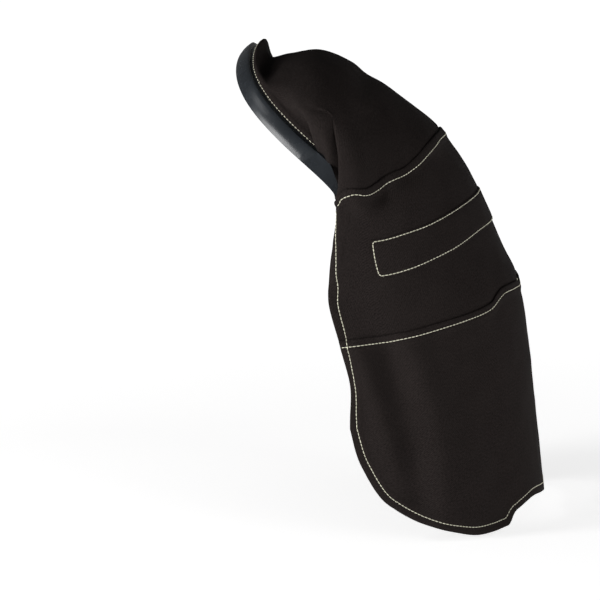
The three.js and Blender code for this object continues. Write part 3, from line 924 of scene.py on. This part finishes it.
def trim_section(angle):
    """The profile at an angle from the crown. Past the lip's end it is flush, and it tapers to its tip."""
    profile = np.array(TRIM_PROFILE)
    top = profile[:, 1] > FLANGE_TOP
    narrow = CROWN_NARROW + (1 - CROWN_NARROW) * smooth(abs(angle), *CROWN_FADE)
    rear = top & (profile[:, 0] > BEAD_MIDDLE)
    profile[rear, 0] = BEAD_MIDDLE + (profile[rear, 0] - BEAD_MIDDLE) * narrow
    flush = smooth(abs(angle), *LIP_END)
    profile[top, 1] += (np.minimum(profile[top, 1], LIP_HEIGHT) - profile[top, 1]) * flush
    limit = np.interp(math.degrees(abs(angle)), *zip(*END_TAPER))
    profile[:, 0] = np.minimum(profile[:, 0], limit)
    return rim_place(np.full(len(profile), angle), profile[:, 0], profile[:, 1]) * MM


print("trim profile:", len(TRIM_PROFILE), "points")

# %% Trim
bpy.ops.object.select_all(action="DESELECT")
bpy.ops.mesh.primitive_circle_add(vertices=len(TRIM_PROFILE), fill_type="NGON")
trim = bpy.context.object
trim.name = "rubber_trim"
bpy.ops.object.mode_set(mode="EDIT")
spots = np.linspace(-1, 1, TRIM_STATIONS) * TRIM_END
shape = bmesh.from_edit_mesh(trim.data)
for vertex, place in zip(shape.verts, trim_section(spots[0])):
    vertex.co = place
bmesh.update_edit_mesh(trim.data)
for angle in spots[1:]:
    bpy.ops.mesh.extrude_region_move()
    shape = bmesh.from_edit_mesh(trim.data)
    chosen = [v for v in shape.verts if v.select]
    for vertex, place in zip(chosen, trim_section(angle)):
        vertex.co = place
    bmesh.update_edit_mesh(trim.data)
bpy.ops.mesh.select_all(action="SELECT")
bpy.ops.mesh.normals_make_consistent(inside=False)
bpy.ops.object.mode_set(mode="OBJECT")
bpy.ops.object.shade_smooth_by_angle(angle=TRIM_SMOOTH)
trim.data.materials.append(rubber.material)
print("trim", len(trim.data.polygons), "faces")

# %% [markdown]
# ## One stitch
# A stitch is a short length of thread that comes up out of the cloth, lies on it and goes down again. A
# small ball is drawn out along the thread and bent, so that its ends sink into the cloth. It has few
# faces, because the cover has about fifteen hundred stitches.

# %% Stitch
STITCH_SIDES = 6
STITCH_LIFT = 0.35
STITCH_ARCH = 0.8
HOLD_OFF = 6

bpy.ops.mesh.primitive_uv_sphere_add(segments=STITCH_SIDES, ring_count=STITCH_SIDES, radius=1)
pattern = bpy.context.object
bpy.ops.object.mode_set(mode="EDIT")
bpy.ops.transform.rotate(value=math.pi / 2, orient_axis="Y", center_override=(0, 0, 0))
bpy.ops.object.mode_set(mode="OBJECT")
STITCH_SHAPE = np.array([v.co[:] for v in pattern.data.vertices])
STITCH_FACES = [list(p.vertices) for p in pattern.data.polygons]
bpy.data.objects.remove(pattern)
print("stitch", len(STITCH_FACES), "faces")

# %% [markdown]
# ## Rows of stitches
# A row is the stitch copied along its line. Each copy is laid on the cloth itself: its two ends are
# dropped on the panel's face, and the face's own direction there turns it. The cloth is sewn through, so
# at the seams and the hem a second row lies on the inside.

# %% Laying a stitch
def landed(panels, point, way):
    """The first spot on the panels met from off the cloth, and the face's direction there."""
    start = Vector((point + way * HOLD_OFF) * MM)
    best = None
    for panel in panels:
        hit, place, normal, _ = panel.ray_cast(start, Vector(-way), distance=2 * HOLD_OFF * MM)
        if not hit:
            _, place, normal, _ = panel.closest_point_on_mesh(Vector(point * MM))
        gap = (place - start).length
        if best is None or gap < best[0]:
            best = (gap, place, normal)
    return np.array(best[1]) / MM, np.array(best[2])


def along_run(values, reached, distance):
    return np.array([np.interp(distance, reached, values[:, i]) for i in range(3)])


def stitch_points(ends, radius):
    """The stitch laid between two spots on the cloth, bent down at both."""
    (first, way_1), (second, way_2) = ends
    along = unit(second - first)
    out = way_1 + way_2
    out = unit(out - along * out.dot(along))
    body = STITCH_SHAPE * radius
    body[:, 0] = STITCH_SHAPE[:, 0] * np.linalg.norm(second - first) / 2
    body[:, 2] += radius * (STITCH_LIFT - STITCH_ARCH * STITCH_SHAPE[:, 0] ** 2)
    return (first + second) / 2 + body @ np.stack([along, np.cross(out, along), out])


print("a stitch is held off by", HOLD_OFF, "mm before it lands")


# %% Sewing
def sew(name, run, normals, panels, margin, pitch, length, radius, sides):
    """A row of stitches spread evenly along a run, on the given sides of the cloth."""
    reached = measured(run)[1]
    room = reached[-1] - 2 * margin
    count = round(room / pitch)
    points, faces = [], []
    for side in sides:
        for start in margin + np.arange(count) * room / count:
            ends = []
            for distance in (start, start + length):
                way = unit(along_run(normals, reached, distance)) * side
                ends.append(landed(panels, along_run(run, reached, distance), way))
            faces.extend([[i + len(points) for i in face] for face in STITCH_FACES])
            points.extend(stitch_points(ends, radius))
    row = new_piece(name, points, faces, thread.material)
    bpy.ops.object.mode_set(mode="EDIT")
    bpy.ops.mesh.select_all(action="SELECT")
    bpy.ops.mesh.normals_make_consistent(inside=False)
    bpy.ops.object.mode_set(mode="OBJECT")
    bpy.ops.object.shade_smooth()
    print(name, count * len(sides), "stitches")
    return row


def line_normals(name):
    by_share, by_down = directions(*LINES[name])
    return both_sides(unit(np.cross(by_down, by_share)))


bpy.context.view_layer.update()
# line, panels, margin at the ends, pitch, length, radius, sides: 1 outside, -1 inside
SEWING = (
    ("trim", (crown,), 2, 2.9, 2.2, 0.28, (1,)),
    ("crown_seam", (neck,), 1, 2.6, 2.6, 0.32, (1, -1)),
    ("cape_seam", (cape,), 1, 2.6, 2.6, 0.32, (1, -1)),
    ("hem", (neck, cape), 2, 2.6, 2.6, 0.31, (1, -1)),
    ("strip", (strip,), 0, 2.6, 2.6, 0.32, (1,)),
)
threads = {
    name: sew(f"thread_{name}", STITCH_RUNS[name], line_normals(name), panels, *sizes)
    for name, panels, *sizes in SEWING
}

# %% [markdown]
# ## What each piece is
# Every piece moves with the one body of the part. The trim and the panels take the place of their solids,
# and the thread is added to them. The table also lists each panel's slot, flat size and area, measured on
# the panels made here and rounded, and what it is sewn to and with; these are not used here.

PANELS = (
    (crown, "crown_panel", "cloth", (0.330, 0.190), 0.040, trim, ("trim",)),
    (neck, "neck_panel", "cloth", (0.410, 0.130), 0.043, crown, ("crown_seam",)),
    (cape, "cape_panel", "cloth", (0.430, 0.170), 0.060, neck, ("cape_seam", "hem")),
    (strip, "nape_strip", "strip", (0.290, 0.028), 0.0081, neck, ("strip",)),
)
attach(trim, "root")
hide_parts("edge_trim")
for row in threads.values():
    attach(row, "root")
for panel, node, slot, flat, area, sewn_to, sewn_with in PANELS:
    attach(panel, "root")
    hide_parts(node)
    print(node, "half area", round(sum(face.area for face in panel.data.polygons) / 2, 4))

# %% [markdown]
# ## Floor
# A pale floor lies just under the hem. A plane is enough, because only its upper face is seen. Its light
# is
# painted: it glows a little, and more so far away, so that it runs into the white behind it without a
# line.

# %% Floor
FLOOR_CLEAR = 0.002
FLOOR_SIZE = 14
PAPER = (0.86, 0.86, 0.86, 1)
FLOOR_GLOW_NEAR, FLOOR_GLOW_FAR = (0.72, 0.72, 0.72), (0.95, 0.95, 0.95)
FLOOR_GLOW_FADE = (0.3, 1.4)

floor_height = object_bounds()[0][2] - FLOOR_CLEAR
bpy.ops.mesh.primitive_plane_add(size=FLOOR_SIZE, location=(0, 0, floor_height))
floor = bpy.context.object
floor.name = "floor"
paper = Finish("pale_paper_painted_glow", {"Base Color": PAPER, "Roughness": 0.95, "Emission Strength": 1})
paper_place = paper.node("ShaderNodeTexCoord", output="Object")
paper_away = paper.node("ShaderNodeVectorMath", {"operation": "LENGTH"}, {"Vector": paper_place}, "Value")
glow_range = {"Value": paper_away, "From Min": FLOOR_GLOW_FADE[0], "From Max": FLOOR_GLOW_FADE[1]}
glow_share = paper.node("ShaderNodeMapRange", values=glow_range)
# Painted light: the floor's glow is weaker near the cover and stronger far off.
paper.feed("Emission Color", paper.mix(glow_share, FLOOR_GLOW_NEAR, FLOOR_GLOW_FAR))
floor.data.materials.append(paper.material)
print("floor at", round(floor_height, 4))

# %% [markdown]
# ## Light
# The photograph was lit softly from the camera's side, so that the cloth that faces us is lighter than
# its top. One large soft light there, a weaker one from the other side and a low sky do the same, and a
# small accent puts the shine on the rubber. The sky looks white to the camera, as a studio's paper does.

# %% Light
SKY_LIGHT, SKY_SEEN = 0.12, 1.05
LAMP_TARGET = Vector((0, 0.1, -0.16))
# name, place, size, power
LAMPS = (
    ("key", (1.05, -1.4, -0.1), 0.9, 35),
    ("fill", (1.0, 1.6, -0.12), 0.9, 10),
    ("accent", (0.66, -0.98, 0.8), 0.3, 2),
)

studio = bpy.data.worlds.new("studio")
bpy.context.scene.world = studio
studio.use_nodes = True
sky = Network(studio.node_tree, "Background", {"Color": (1, 1, 1, 1)})
seen = sky.node("ShaderNodeLightPath", output="Is Camera Ray")
sky_range = {"Value": seen, "To Min": SKY_LIGHT, "To Max": SKY_SEEN}
sky.feed("Strength", sky.node("ShaderNodeMapRange", values=sky_range))
for name, place, size, power in LAMPS:
    bpy.ops.object.light_add(type="AREA", location=place)
    lamp = bpy.context.object
    lamp.name = name
    lamp.data.size = size
    lamp.data.energy = power
    lamp.rotation_euler = (LAMP_TARGET - Vector(place)).to_track_quat("-Z", "Y").to_euler()
bpy.context.scene.view_settings.view_transform = "Standard"
print("lamps:", [row[0] for row in LAMPS])
